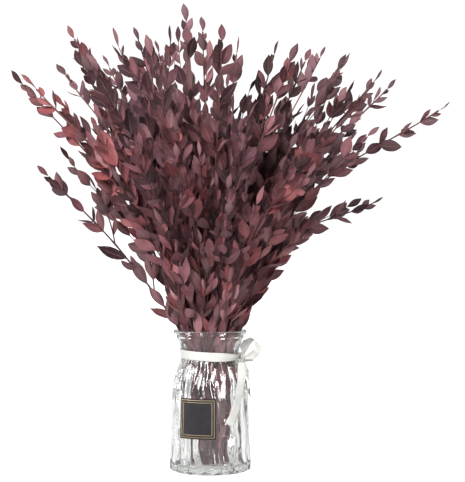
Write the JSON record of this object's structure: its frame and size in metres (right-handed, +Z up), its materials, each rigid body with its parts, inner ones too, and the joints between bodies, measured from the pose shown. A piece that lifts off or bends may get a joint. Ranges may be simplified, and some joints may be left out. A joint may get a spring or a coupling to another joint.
{
  "type": "bunch of dried eucalyptus in a glass vase",
  "caption": "Fan-shaped bunch of dried eucalyptus with paired oval leaves, standing in a clear fluted glass vase with a ribbon round its neck and a square label.",
  "frame": {"origin": "middle of the vase's foot, on the surface that it stands on", "axes": "+Z up along the vase; -Y towards the side with the label, which the picture shows; +X to the right as seen from that side"},
  "size_m": [0.4921, 0.3373, 0.5204],
  "materials": {
    "glass": "clear and glossy, faintly green where it is thick",
    "eucalyptus": "matte dried leaf, plum brown to dusty mauve",
    "label": "smooth coated paper, slate black with two thin gold border lines",
    "ribbon": "soft white satin"
  },
  "bodies": {
    "root": {"vase": "glass", "label": "label", "ribbon": "ribbon", "leafy_stem_01": "eucalyptus", "leafy_stem_02": "eucalyptus", "leafy_stem_03": "eucalyptus", "leafy_stem_04": "eucalyptus", "leafy_stem_05": "eucalyptus", "leafy_stem_06": "eucalyptus", "leafy_stem_07": "eucalyptus", "leafy_stem_08": "eucalyptus", "leafy_stem_09": "eucalyptus", "leafy_stem_10": "eucalyptus", "leafy_stem_11": "eucalyptus", "leafy_stem_12": "eucalyptus", "leafy_stem_13": "eucalyptus", "leafy_stem_14": "eucalyptus", "leafy_stem_15": "eucalyptus", "leafy_stem_16": "eucalyptus", "leafy_stem_17": "eucalyptus", "leafy_stem_18": "eucalyptus", "leafy_stem_19": "eucalyptus", "leafy_stem_20": "eucalyptus", "leafy_stem_21": "eucalyptus", "leafy_stem_22": "eucalyptus", "leafy_stem_23": "eucalyptus", "leafy_stem_24": "eucalyptus", "leafy_stem_25": "eucalyptus", "leafy_stem_26": "eucalyptus", "leafy_stem_27": "eucalyptus", "leafy_stem_28": "eucalyptus", "leafy_stem_29": "eucalyptus", "leafy_stem_30": "eucalyptus", "leafy_stem_31": "eucalyptus", "leafy_stem_32": "eucalyptus"}
  },
  "joints": []
}
